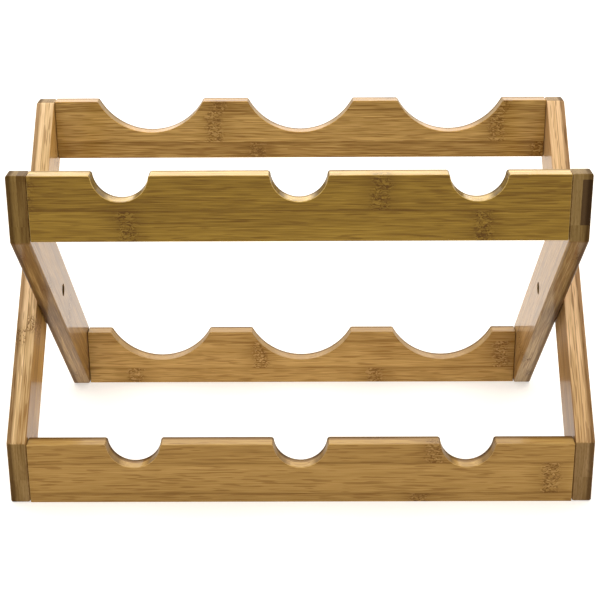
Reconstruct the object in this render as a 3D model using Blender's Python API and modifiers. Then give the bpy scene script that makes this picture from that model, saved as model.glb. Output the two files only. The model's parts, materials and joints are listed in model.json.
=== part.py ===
"""A folding rack that holds six wine bottles in two tiers.

Two open frames of bamboo boards cross like scissors. The outer frame runs from the front foot to
the back top, the inner frame from the front top to the back foot. Each frame is two side boards and
two rails. The front rails have half-round notches for the bottles' necks, the back rails have wide
ones for their bodies. X points right, Y back and Z up, and the origin is under the middle.
"""

import math

import bmesh
import bpy
from mathutils import Matrix, Vector

# Overall size, in metres
WIDTH = 0.390
DEPTH = 0.205
HEIGHT = 0.228
GAP = 0.0003  # between pieces that touch

# Side boards
BOARD_THICK = 0.013
BOARD_GAP = 0.0005  # between an outer board and the inner board beside it
END_CUT = 0.044  # height of a board's upright end faces
FOOT_CUT = 0.0135  # length of a board's level foot and level top
ARRIS = 0.001  # chamfer on the boards' and rails' edges

# Rails
RAIL_HIGH = 0.043
RAIL_THICK = 0.012
PITCH = 0.111  # from one bottle to the next
NECK_RADIUS = 0.018
NECK_DEEP = 0.017
BODY_RADIUS = 0.044
BODY_DEEP = 0.0235
LIP_RADIUS = 0.002  # rounding where a notch meets the rail's top

# Wood screws at the rails' ends
SCREW_LONG = 0.035
SCREW_RADIUS = 0.002
SCREW_HEAD_RADIUS = 0.0038
SCREW_RIM = 0.0004
SCREW_TIP = 0.004
SCREW_HEIGHTS = (0.009, 0.030)  # above the rail's underside
CROSS_ARM = 0.0019
CROSS_WIDE = 0.0009
CROSS_DEEP = 0.0014

# Pivots
FLANGE_RADIUS = 0.0065
FLANGE_THICK = 0.0015
POST_RADIUS = 0.003
POST_BORE = 0.013
PIVOT_CLEAR = 0.0002
SINK_RADIUS = 0.0045  # counterbore in the inner board's inner face
SINK_DEEP = 0.007
BOLT_HEAD_RADIUS = 0.0041
BOLT_HEAD_HIGH = 0.0026
BOLT_RADIUS = 0.002
BOLT_LONG = 0.011
SOCKET_RADIUS = 0.00175
SOCKET_DEEP = 0.0015

# Stop pins
STOP_OFFSET = 0.013  # from the pivot line
PIN_RADIUS = 0.0025
PIN_CHAMFER = 0.0005
PIN_IN_OUTER = 0.0067
PIN_IN_INNER = 0.0055
SLOT_DEEP = 0.0063
FOLD_ANGLE = math.radians(75)
SLOT_SPARE = math.radians(3)

# Fineness of round shapes
SCREW_SIDES = 16
PIVOT_SIDES = 24
NECK_STEPS = 20
BODY_STEPS = 24
LIP_STEPS = 4
SHARP = math.radians(35)

# Places that follow from the sizes
OUTER_OUT = WIDTH / 2
OUTER_IN = OUTER_OUT - BOARD_THICK
INNER_OUT = OUTER_IN - BOARD_GAP
INNER_IN = INNER_OUT - BOARD_THICK
PIVOT = Vector((0, 0, HEIGHT / 2))
FRONT_RAIL_Y = -DEPTH / 2 + RAIL_THICK / 2
BACK_RAIL_Y = -FRONT_RAIL_Y
UPPER_RAIL_Z = HEIGHT - RAIL_HIGH
BOARD_SLOPE = math.atan2(HEIGHT - END_CUT, DEPTH - FOOT_CUT)

# Colours are linear, as Blender's shader takes them
BAMBOO = {
    "outer_boards": (0.40, 0.245, 0.085),
    "inner_boards": (0.38, 0.230, 0.080),
    "rail_front_lower": (0.35, 0.195, 0.056),
    "rail_front_upper": (0.24, 0.135, 0.026),
    "rail_back_lower": (0.41, 0.225, 0.068),
    "rail_back_upper": (0.34, 0.185, 0.048),
}
ZINC = (0.55, 0.53, 0.48)
DARK_STEEL = (0.12, 0.11, 0.10)


def clear_scene():
    for item in list(bpy.data.objects):
        bpy.data.objects.remove(item, do_unlink=True)


def new_collection(name):
    collection = bpy.data.collections.new(name)
    bpy.context.scene.collection.children.link(collection)
    return collection


def principled(name, colour, roughness, metallic=0.0):
    material = bpy.data.materials.new(name)
    material.use_nodes = True
    shader = material.node_tree.nodes["Principled BSDF"]
    shader.inputs["Base Color"].default_value = (*colour, 1)
    shader.inputs["Roughness"].default_value = roughness
    shader.inputs["Metallic"].default_value = metallic
    return material


def evaluated_mesh(source, name):
    """The mesh that this object's modifiers or curve make; the object itself is removed."""
    bpy.context.view_layer.update()
    graph = bpy.context.evaluated_depsgraph_get()
    mesh = bpy.data.meshes.new_from_object(source.evaluated_get(graph))
    mesh.name = name
    bpy.data.objects.remove(source, do_unlink=True)
    return mesh


def arc(centre, radius, start, end, steps):
    """Points on a circle from one angle to another, both ends included."""
    turn = (end - start) / steps
    angles = [start + turn * step for step in range(steps + 1)]
    return [(centre[0] + radius * math.cos(a), centre[1] + radius * math.sin(a)) for a in angles]


def plate(name, outline, thickness, chamfer=0.0, square_ends_at=None):
    """A flat plate with this outline in its local XY plane and its sharp edges chamfered.

    Edges round a face at x = +-square_ends_at stay sharp, because that face butts on a board.
    """
    curve = bpy.data.curves.new(name, "CURVE")
    curve.dimensions = "2D"
    curve.fill_mode = "BOTH"
    curve.extrude = thickness / 2
    spline = curve.splines.new("POLY")
    spline.points.add(len(outline) - 1)
    spline.use_cyclic_u = True
    for point, (x, y) in zip(spline.points, outline):
        point.co = (x, y, 0, 1)
    guide = bpy.data.objects.new(name, curve)
    bpy.context.scene.collection.objects.link(guide)
    mesh = evaluated_mesh(guide, name)

    shape = bmesh.new()
    shape.from_mesh(mesh)
    bmesh.ops.remove_doubles(shape, verts=shape.verts, dist=1e-6)
    bmesh.ops.dissolve_limit(
        shape, angle_limit=math.radians(1), verts=shape.verts, edges=shape.edges
    )
    bmesh.ops.recalc_face_normals(shape, faces=shape.faces)
    if chamfer:
        chosen = []
        for edge in shape.edges:
            reach = min(abs(vert.co.x) for vert in edge.verts)
            at_end = square_ends_at is not None and reach > square_ends_at - 1e-6
            if edge.calc_face_angle() > SHARP and not at_end:
                chosen.append(edge)
        bmesh.ops.bevel(
            shape, geom=chosen, offset=chamfer, segments=1, profile=0.5, affect="EDGES"
        )
    shape.to_mesh(mesh)
    shape.free()
    return mesh


def turned(name, profile, sides):
    """A round piece on the local Z axis. The profile's points are (radius, height), top first."""
    mesh = bpy.data.meshes.new(name)
    points = [(radius, 0, height) for radius, height in profile]
    mesh.from_pydata(points, [(i, i + 1) for i in range(len(points) - 1)], [])
    guide = bpy.data.objects.new(name, mesh)
    bpy.context.scene.collection.objects.link(guide)
    screw = guide.modifiers.new("turn", "SCREW")
    screw.steps = sides
    screw.render_steps = sides
    screw.use_merge_vertices = True
    screw.merge_threshold = 1e-5
    return evaluated_mesh(guide, name)


def prism(name, radius, low, high, sides):
    """A straight prism on the local Z axis, between two heights."""
    mesh = bpy.data.meshes.new(name)
    shape = bmesh.new()
    bmesh.ops.create_cone(
        shape,
        cap_ends=True,
        segments=sides,
        radius1=radius,
        radius2=radius,
        depth=high - low,
        matrix=Matrix.Translation((0, 0, (low + high) / 2)),
    )
    shape.to_mesh(mesh)
    shape.free()
    return mesh


def cut_mesh(mesh, cutter_mesh, name):
    """The first mesh less the second, both in the same local frame."""
    body = bpy.data.objects.new(name, mesh)
    cutter = bpy.data.objects.new(name + "_cutter", cutter_mesh)
    bpy.context.scene.collection.objects.link(body)
    bpy.context.scene.collection.objects.link(cutter)
    cut(body, cutter)
    result = evaluated_mesh(body, name)
    bpy.data.objects.remove(cutter, do_unlink=True)
    return result


def cut(target, cutter):
    boolean = target.modifiers.new(cutter.name, "BOOLEAN")
    boolean.operation = "DIFFERENCE"
    boolean.solver = "EXACT"
    boolean.object = cutter


def place(name, mesh, matrix, collection, material=None, carrier=None):
    """Puts one piece in the model, in world coordinates, and hangs it on its frame's empty."""
    mesh.shade_smooth()
    mesh.set_sharp_from_angle(angle=SHARP)
    item = bpy.data.objects.new(name, mesh)
    item.matrix_world = matrix
    collection.objects.link(item)
    if material and not mesh.materials:
        mesh.materials.append(material)
    if carrier:
        item.parent = carrier
        item.matrix_parent_inverse = Matrix.Translation(-carrier.location)
    return item


def place_cutter(name, mesh, matrix, collection):
    cutter = place(name, mesh, matrix, collection)
    cutter.hide_render = True
    cutter.display_type = "WIRE"
    return cutter


def new_empty(name, location, collection):
    empty = bpy.data.objects.new(name, None)
    empty.location = location
    empty.empty_display_size = 0.03
    collection.objects.link(empty)
    return empty


def board_outline(mirror):
    """A side board seen from the right, as (y, z). The ends are cut upright and level.

    mirror is 1 for the outer boards, front foot to back top, and -1 for the inner ones.
    """
    front, back, toe = -DEPTH / 2, DEPTH / 2, DEPTH / 2 - FOOT_CUT
    corners = [
        (front, 0),
        (-toe, 0),
        (back, HEIGHT - END_CUT),
        (back, HEIGHT),
        (toe, HEIGHT),
        (front, END_CUT),
    ]
    return [(mirror * y, z) for y, z in corners][::mirror]


def notch(centre, radius, deep, steps):
    """A round notch in a rail's top edge, from left to right, with rounded lips.

    The notch's circle has its centre `rise` above the rail's top. Each lip is a small circle that
    touches both the top and the notch.
    """
    rise = radius - deep
    lip_x = math.sqrt((radius + LIP_RADIUS) ** 2 - (rise + LIP_RADIUS) ** 2)
    lip_y = RAIL_HIGH - LIP_RADIUS
    meet = math.atan2(rise + LIP_RADIUS, lip_x)  # where lip and notch touch, seen from the lip
    left = arc((centre - lip_x, lip_y), LIP_RADIUS, math.pi / 2, meet, LIP_STEPS)
    low = arc((centre, RAIL_HIGH + rise), radius, math.pi + meet, 2 * math.pi - meet, steps)
    right = arc(
        (centre + lip_x, lip_y), LIP_RADIUS, math.pi - meet, math.pi / 2, LIP_STEPS
    )
    return left[:-1] + low + right[1:]


def rail_outline(half_length, radius, deep, steps):
    """A rail seen from the front, as (x, height), with a notch for each of three bottles."""
    points = [(-half_length, 0), (-half_length, RAIL_HIGH)]
    for place_in_row in (-1, 0, 1):
        points += notch(place_in_row * PITCH, radius, deep, steps)
    return points + [(half_length, RAIL_HIGH), (half_length, 0)]


def slot_outline(start, end, width):
    """A curved slot round the pivot, with round ends, as (y, z) from the pivot line."""
    half = width / 2
    ends = [(STOP_OFFSET * math.cos(a), STOP_OFFSET * math.sin(a)) for a in (start, end)]
    outer = arc((0, 0), STOP_OFFSET + half, start, end, 16)
    far_cap = arc(ends[1], half, end, end + math.pi, 8)
    inner = arc((0, 0), STOP_OFFSET - half, end, start, 16)
    near_cap = arc(ends[0], half, start + math.pi, start + 2 * math.pi, 8)
    return outer[:-1] + far_cap[:-1] + inner[:-1] + near_cap[:-1]


def screw_profile(grow=0.0):
    """A countersunk screw with its head's face at height 0. grow makes the hole that it fits."""
    above = 0.001 if grow else 0.0
    head = SCREW_HEAD_RADIUS + grow
    shank = SCREW_RADIUS + grow
    cone_end = -SCREW_RIM - (SCREW_HEAD_RADIUS - SCREW_RADIUS) - grow / 2
    return [
        (0, above),
        (head, above),
        (head, -SCREW_RIM - grow / 2),
        (shank, cone_end),
        (shank, -SCREW_LONG + SCREW_TIP - grow),
        (0, -SCREW_LONG - grow),
    ]


def cross_outline():
    """A cross-shaped driver recess, as twelve points."""
    quarter = [(CROSS_WIDE / 2, CROSS_WIDE / 2), (CROSS_ARM, CROSS_WIDE / 2)]
    quarter.append((CROSS_ARM, -CROSS_WIDE / 2))
    points = []
    for step in range(4):
        turn = Matrix.Rotation(-step * math.pi / 2, 2)
        points += [tuple(turn @ Vector(point)) for point in quarter]
    return points[::-1]


def post_profile():
    """A sleeve nut with its flange's face at height 0 and a blind bore from the other end."""
    end = -(OUTER_OUT - GAP - INNER_IN - SINK_DEEP)
    return [
        (0, 0),
        (FLANGE_RADIUS, 0),
        (FLANGE_RADIUS, -FLANGE_THICK),
        (POST_RADIUS, -FLANGE_THICK),
        (POST_RADIUS, end),
        (BOLT_RADIUS + GAP, end),
        (BOLT_RADIUS + GAP, end + POST_BORE),
        (0, end + POST_BORE),
    ]


def pivot_hole_profile():
    """The stepped hole through both boards, from the outer board's outer face at height 0."""
    flange_floor = -(GAP + FLANGE_THICK + GAP)
    sink_floor = -(OUTER_OUT - INNER_IN - SINK_DEEP)
    beyond = -(OUTER_OUT - INNER_IN) - 0.001
    return [
        (0, 0.001),
        (FLANGE_RADIUS + GAP, 0.001),
        (FLANGE_RADIUS + GAP, flange_floor),
        (POST_RADIUS + PIVOT_CLEAR, flange_floor),
        (POST_RADIUS + PIVOT_CLEAR, sink_floor),
        (SINK_RADIUS, sink_floor),
        (SINK_RADIUS, beyond),
        (0, beyond),
    ]


def bolt_profile():
    """The pivot screw, its head's face at height 0."""
    return [
        (0, 0),
        (BOLT_HEAD_RADIUS - 0.0003, 0),
        (BOLT_HEAD_RADIUS, -0.0003),
        (BOLT_HEAD_RADIUS, -BOLT_HEAD_HIGH),
        (BOLT_RADIUS, -BOLT_HEAD_HIGH),
        (BOLT_RADIUS, -BOLT_HEAD_HIGH - BOLT_LONG),
        (0, -BOLT_HEAD_HIGH - BOLT_LONG),
    ]


def pin_profile():
    """The stop pin, from the end in the outer board, both ends chamfered."""
    length = PIN_IN_OUTER + BOARD_GAP + PIN_IN_INNER
    return [
        (0, 0),
        (PIN_RADIUS - PIN_CHAMFER, 0),
        (PIN_RADIUS, -PIN_CHAMFER),
        (PIN_RADIUS, -length + PIN_CHAMFER),
        (PIN_RADIUS - PIN_CHAMFER, -length),
        (0, -length),
    ]


def across(x, y, z, side):
    """Puts a turned piece's local +Z along X, away from the middle on this side."""
    return Matrix.Translation((x, y, z)) @ Matrix.Rotation(side * math.pi / 2, 4, "Y")


def upright_side(x):
    """Puts an outline drawn as (y, z) in an upright plane at this x."""
    axes = Matrix(((0, 0, 1, x), (1, 0, 0, 0), (0, 1, 0, 0), (0, 0, 0, 1)))
    return axes


def upright_front(y, z):
    """Puts an outline drawn as (x, height) in an upright plane at this y."""
    return Matrix.Translation((0, y, z)) @ Matrix.Rotation(math.pi / 2, 4, "X")


def make_boards(parts, frames):
    boards = {}
    for frame, mirror, outer_face in (("outer", 1, OUTER_OUT), ("inner", -1, INNER_OUT)):
        material = principled(f"{frame}_boards", BAMBOO[f"{frame}_boards"], 0.32)
        for side, sign in (("left", -1), ("right", 1)):
            name = f"{frame}_board_{side}"
            mesh = plate(name, board_outline(mirror), BOARD_THICK, ARRIS)
            matrix = upright_side(sign * (outer_face - BOARD_THICK / 2))
            boards[frame, side] = place(name, mesh, matrix, parts, material, frames[frame])
    return boards


def make_rails(parts, frames):
    rails = {}
    neck = (NECK_RADIUS, NECK_DEEP, NECK_STEPS)
    body = (BODY_RADIUS, BODY_DEEP, BODY_STEPS)
    rows = (
        ("rail_front_lower", "outer", FRONT_RAIL_Y, 0, neck),
        ("rail_back_upper", "outer", BACK_RAIL_Y, UPPER_RAIL_Z, body),
        ("rail_front_upper", "inner", FRONT_RAIL_Y, UPPER_RAIL_Z, neck),
        ("rail_back_lower", "inner", BACK_RAIL_Y, 0, body),
    )
    for name, frame, y, z, notches in rows:
        half_length = {"outer": OUTER_IN, "inner": INNER_IN}[frame] - GAP
        outline = rail_outline(half_length, *notches)
        mesh = plate(name, outline, RAIL_THICK, ARRIS, square_ends_at=half_length)
        material = principled(name, BAMBOO[name], 0.32)
        rail = place(name, mesh, upright_front(y, z), parts, material, frames[frame])
        rails[name] = (rail, frame, y, z)
    return rails


def make_wood_screws(parts, cutters, frames, boards, rails):
    zinc = principled("wood_screws", ZINC, 0.35, 1.0)
    recess = plate("screw_recess", cross_outline(), 2 * CROSS_DEEP)
    screw_mesh = cut_mesh(turned("wood_screw", screw_profile(), SCREW_SIDES), recess, "wood_screw")
    hole_mesh = turned("screw_hole", screw_profile(GAP), SCREW_SIDES)
    faces = {"outer": OUTER_OUT, "inner": INNER_OUT}
    for rail_name, (rail, frame, y, z) in rails.items():
        for side, sign in (("left", -1), ("right", 1)):
            for number, height in enumerate(SCREW_HEIGHTS, 1):
                name = f"screw_{rail_name[5:]}_{side}_{number}"
                x = sign * (faces[frame] - GAP)
                matrix = across(x, y, z + height, sign)
                place(name, screw_mesh, matrix, parts, zinc, frames[frame])
                hole = place_cutter("hole_for_" + name, hole_mesh, matrix, cutters)
                cut(boards[frame, side], hole)
                cut(rail, hole)


def make_pivots(parts, cutters, frames, boards):
    steel = principled("pivot_hardware", DARK_STEEL, 0.4, 1.0)
    post_socket = prism("post_socket", SOCKET_RADIUS * 1.3, -SOCKET_DEEP, SOCKET_DEEP, 6)
    bolt_socket = prism("bolt_socket", SOCKET_RADIUS, -SOCKET_DEEP, SOCKET_DEEP, 6)
    post = cut_mesh(turned("post", post_profile(), PIVOT_SIDES), post_socket, "pivot_post")
    bolt = cut_mesh(turned("bolt", bolt_profile(), PIVOT_SIDES), bolt_socket, "pivot_screw")
    hole_mesh = turned("pivot_hole", pivot_hole_profile(), PIVOT_SIDES)
    bolt_face = INNER_IN + SINK_DEEP - GAP - BOLT_HEAD_HIGH
    for side, sign in (("left", -1), ("right", 1)):
        matrix = across(sign * (OUTER_OUT - GAP), 0, PIVOT.z, sign)
        place(f"pivot_post_{side}", post, matrix, parts, steel, frames["outer"])
        matrix = across(sign * bolt_face, 0, PIVOT.z, -sign)
        place(f"pivot_screw_{side}", bolt, matrix, parts, steel, frames["outer"])
        matrix = across(sign * OUTER_OUT, 0, PIVOT.z, sign)
        hole = place_cutter(f"pivot_hole_{side}", hole_mesh, matrix, cutters)
        cut(boards["outer", side], hole)
        cut(boards["inner", side], hole)


def make_stops(parts, cutters, frames, boards):
    """A pin in each outer board runs in a curved blind slot in the inner board.

    With the rack open the pin is at the slot's end, so the feet can't spread further. As the rack
    folds, the slot slides along the pin by the fold's angle.
    """
    steel = principled("stop_pins", ZINC, 0.4, 1.0)
    pin = turned("stop_pin", pin_profile(), SCREW_SIDES)
    hole_profile = [
        (0, GAP),
        (PIN_RADIUS + GAP, GAP),
        (PIN_RADIUS + GAP, -PIN_IN_OUTER - 0.001),
        (0, -PIN_IN_OUTER - 0.001),
    ]
    hole_mesh = turned("pin_hole", hole_profile, SCREW_SIDES)
    slot_end = BOARD_SLOPE + FOLD_ANGLE + SLOT_SPARE
    outline = slot_outline(BOARD_SLOPE, slot_end, 2 * (PIN_RADIUS + GAP))
    slot_mesh = plate("stop_slot", outline, 2 * SLOT_DEEP)
    y = STOP_OFFSET * math.cos(BOARD_SLOPE)
    z = PIVOT.z + STOP_OFFSET * math.sin(BOARD_SLOPE)
    for side, sign in (("left", -1), ("right", 1)):
        matrix = across(sign * (OUTER_IN + PIN_IN_OUTER), y, z, sign)
        place(f"stop_pin_{side}", pin, matrix, parts, steel, frames["outer"])
        hole = place_cutter(f"pin_hole_{side}", hole_mesh, matrix, cutters)
        cut(boards["outer", side], hole)
        matrix = Matrix.Translation(PIVOT) @ upright_side(sign * INNER_OUT)
        slot = place_cutter(f"stop_slot_{side}", slot_mesh, matrix, cutters)
        cut(boards["inner", side], slot)


def main():
    clear_scene()
    parts = new_collection("wine_rack")
    cutters = new_collection("wine_rack_cutters")
    frames = {
        "outer": new_empty("outer_frame", (0, 0, 0), parts),
        "inner": new_empty("inner_frame_on_pivot", PIVOT, parts),
    }
    boards = make_boards(parts, frames)
    rails = make_rails(parts, frames)
    make_wood_screws(parts, cutters, frames, boards, rails)
    make_pivots(parts, cutters, frames, boards)
    make_stops(parts, cutters, frames, boards)


main()
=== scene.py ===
"""The looks of a folding bamboo wine rack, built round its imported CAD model.

Every board, rail, screw and pin is modelled again, finer, in the place that the frame gives, and
stands for its CAD node. All the materials are node graphs in each piece's own coordinates. A rail has
its local X along the grain, its local Y across the strips and its local Z through its thickness. A
side board keeps the rack's axes, and its material turns them to the grain's. A turned piece has its
axis along its local Z.
"""

import json
import math

import bmesh
import bpy
from mathutils import Matrix, Vector


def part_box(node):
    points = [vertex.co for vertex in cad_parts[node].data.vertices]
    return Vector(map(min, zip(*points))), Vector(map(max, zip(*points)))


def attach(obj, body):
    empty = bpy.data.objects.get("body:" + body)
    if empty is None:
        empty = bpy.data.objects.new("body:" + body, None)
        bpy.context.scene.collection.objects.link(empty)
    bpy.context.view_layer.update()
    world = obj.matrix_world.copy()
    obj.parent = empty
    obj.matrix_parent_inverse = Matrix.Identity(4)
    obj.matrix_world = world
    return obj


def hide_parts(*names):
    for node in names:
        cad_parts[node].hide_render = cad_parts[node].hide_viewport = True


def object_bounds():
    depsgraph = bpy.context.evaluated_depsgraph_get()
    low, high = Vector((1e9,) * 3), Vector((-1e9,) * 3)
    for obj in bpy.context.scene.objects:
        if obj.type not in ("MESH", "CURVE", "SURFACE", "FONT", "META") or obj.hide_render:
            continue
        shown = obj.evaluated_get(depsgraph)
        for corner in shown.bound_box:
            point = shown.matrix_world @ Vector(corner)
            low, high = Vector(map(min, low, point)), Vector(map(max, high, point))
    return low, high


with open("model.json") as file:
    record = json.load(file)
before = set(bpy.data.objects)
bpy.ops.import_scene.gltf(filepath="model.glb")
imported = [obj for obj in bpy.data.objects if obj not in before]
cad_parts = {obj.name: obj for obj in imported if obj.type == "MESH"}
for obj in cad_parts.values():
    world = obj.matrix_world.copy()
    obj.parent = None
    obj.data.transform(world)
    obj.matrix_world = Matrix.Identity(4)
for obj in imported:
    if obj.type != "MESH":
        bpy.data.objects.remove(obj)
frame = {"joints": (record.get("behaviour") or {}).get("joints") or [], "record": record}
CAD_BOX = [list(corner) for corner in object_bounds()]

# The camera, in metres and degrees
CAMERA_AT = (0.0056, -0.9556, 0.4795)
CAMERA_DOWN = 21.37
CAMERA_TURN = 0.36
CAMERA_ROLL = -0.316
LENS = 86.5
SENSOR = 36.0

# The studio: radiance of the soft light round the rack, and the floor
LIGHT_FRONT = 0.30
LIGHT_SIDES = 0.62
LIGHT_BACK = 2.6
LIGHT_TOP = 2.1
LIGHT_TINT = (1.03, 0.97, 0.86, 1)
FLOOR_SIZE = 24.0
FLOOR_TILES = 24
FLOOR_PALE = (0.58, 0.57, 0.57, 1)
FLOOR_PALER = (0.60, 0.59, 0.59, 1)
FLOOR_GLOW = 0.53
GLOW_TINT = (1.0, 0.98, 0.95, 1)

# Shapes that the frame's boxes don't give, in metres
GAP = 0.0003
END_CUT = 0.044  # height of a board's upright end faces
FOOT_CUT = 0.0135  # length of a board's level foot and level top
PITCH = 0.111  # from one bottle to the next
NECK = {"radius": 0.018, "deep": 0.017, "steps": 72}
BODY = {"radius": 0.044, "deep": 0.0235, "steps": 56}
LIP_RADIUS = 0.002
LIP_STEPS = 8
BOARD_ROUND = 0.0015  # radius of a board's edges
RAIL_ROUND = 0.0007
RAIL_END_ROUND = 0.0004  # where a rail's end meets a board
ROUND_STEPS = 4
SHARP = math.radians(35)
TINY = 1e-6

# Wood screws
SCREW_LONG = 0.035
SCREW_RADIUS = 0.002
SCREW_ROOT = 0.0015
SCREW_PITCH = 0.0018
SCREW_HEAD = 0.0038
SCREW_RIM = 0.0004
SCREW_TIP = 0.004
SCREW_PLAIN = 0.009  # length without thread, head included
CROSS_ARM = 0.0019
CROSS_WIDE = 0.0009
CROSS_DEEP = 0.0014
CROSS_TAPER = 0.5

# Pivots
FLANGE_RADIUS = 0.0065
FLANGE_THICK = 0.0015
POST_RADIUS = 0.003
POST_BORE = 0.013
PIVOT_CLEAR = 0.0002
SINK_RADIUS = 0.0045
SINK_DEEP = 0.007
BOLT_HEAD = 0.0041
BOLT_HEAD_HIGH = 0.0026
BOLT_RADIUS = 0.002
BOLT_ROOT = 0.0016
BOLT_PITCH = 0.0007
BOLT_LONG = 0.011
SOCKET_RADIUS = 0.00175
SOCKET_DEEP = 0.0015
POST_SOCKET = SOCKET_RADIUS * 1.3
METAL_ROUND = 0.0004

# Stop pins and the slots that they run in
STOP_OFFSET = 0.013
PIN_RADIUS = 0.0025
PIN_CHAMFER = 0.0005
PIN_IN_OUTER = 0.0067
SLOT_DEEP = 0.0063
SLOT_SPARE = math.radians(3)

METAL_SIDES = 48
THREAD_SIDES = 48
RIM_STEPS = 6
ROWS_PER_TURN = 6
SLOT_STEPS = 40
CAP_STEPS = 24
CUT_PAST = 0.001  # how far a cutter goes past the face that it opens

# Bamboo: flat strips glued in two layers. Each pair of distances says where something has faded out
# and where it is full, from a glue line, from a joint of the cane or from the piece's own middle.
STRIPS = 4  # most strips in one layer
STRIP_GLUE = (0.00036, 0.00008)
LAYER_GLUE = (0.00034, 0.00008)
BESIDE_GLUE = (0.0024, 0.0003)
JOINT_REACH = (0.0085, 0.0030)
HALO_REACH = (0.020, 0.004)
# painted shade on the narrow faces beside one wide face, from the piece's middle through it
PAINTED_SHADE_REACH = (0.0016, 0.0042)
# painted light on the narrow faces, halfway along: where it fades out from the piece's middle
MIDDLE_LIGHT_REACH = (0.095, 0.015)
JOINT_RAGGED = 0.012  # how far a joint's place varies across a strip
WANDER = (0.0022, 0.0010)  # how far fibres wander, across the strips and through them

# How much a surface must face along an axis to count as a sawn end, a narrow face, or a rounded edge
# that gets a painted highlight
END_FACING = (0.30, 0.62)
FLANK_FACING = (0.45, 0.85)
EDGE_HIGHLIGHT_FACING = (0.25, 0.62)

# Streaks along the grain: how many per metre along it, how many per metre across it, and detail
BANDS = (5.0, 250.0, 1.5)
CLOUD = (12.0, 60.0, 1.5)
FIBRES = (24.0, 1000.0, 2.0)
HAIRS = (50.0, 1900.0, 1.0)
DASHES = (60.0, 900.0, 0.5)

# Other marks, per metre: a joint's curls along and across the grain, pores, and the saw's marks
CURLS = (250.0, 560.0)
PORES = 1500.0
SAW_MARKS = (60.0, 800.0)

# Lacquered bamboo's shine
ROUGHNESS = 0.46
SPECULAR = 0.04
COAT_IOR = 1.22
COAT_ROUGHNESS = 0.12
END_GLOSS = 0.27  # coat on the sawn ends

# Colours as multiples of the wood's own
DARKER = (0.55, 0.47, 0.34)
LIGHTER = (1.42, 1.5, 1.8)
DASH_TINT = (0.5, 0.38, 0.25)
CURL_TINT = (0.34, 0.24, 0.14)
GLINT_TINT = (1.4, 1.5, 2.0)
GLUE_TINT = (0.45, 0.34, 0.22)
PORE_TINT = (0.2, 0.14, 0.1)
SMOKED_TINT = (0.64, 0.66, 1.05, 1)
# painted highlight on the rounded edges
EDGE_HIGHLIGHT_TINT = (1.3, 1.35, 1.6, 1)
# painted shade beside one wide face
PAINTED_SHADE_TINT = (0.40, 0.34, 0.28, 1)

# Turned metal: the rings' fineness per metre outwards, along the axis and across, and the patches'
RINGS = (9000.0, 6000.0, 90.0)
PATCHES = 420.0

# Places that follow from the frame
RECORD = frame["record"]
BODY_OF = {node: body for body, nodes in RECORD["behaviour"]["bodies"].items() for node in nodes}
FOLD = frame["joints"][0]
PIVOT = Vector(FOLD["pos_m"])
FOLD_ANGLE = math.radians(FOLD["range_deg"][1])
RACK_LOW, RACK_HIGH = (Vector(corner) for corner in CAD_BOX)
DEPTH = RACK_HIGH.y - RACK_LOW.y
HEIGHT = RACK_HIGH.z - RACK_LOW.z
SLOPE = math.atan2(HEIGHT - END_CUT, DEPTH - FOOT_CUT)
OUTER_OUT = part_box("outer_board_right")[1].x
OUTER_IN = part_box("outer_board_right")[0].x
INNER_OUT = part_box("inner_board_right")[1].x
INNER_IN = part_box("inner_board_right")[0].x
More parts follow.
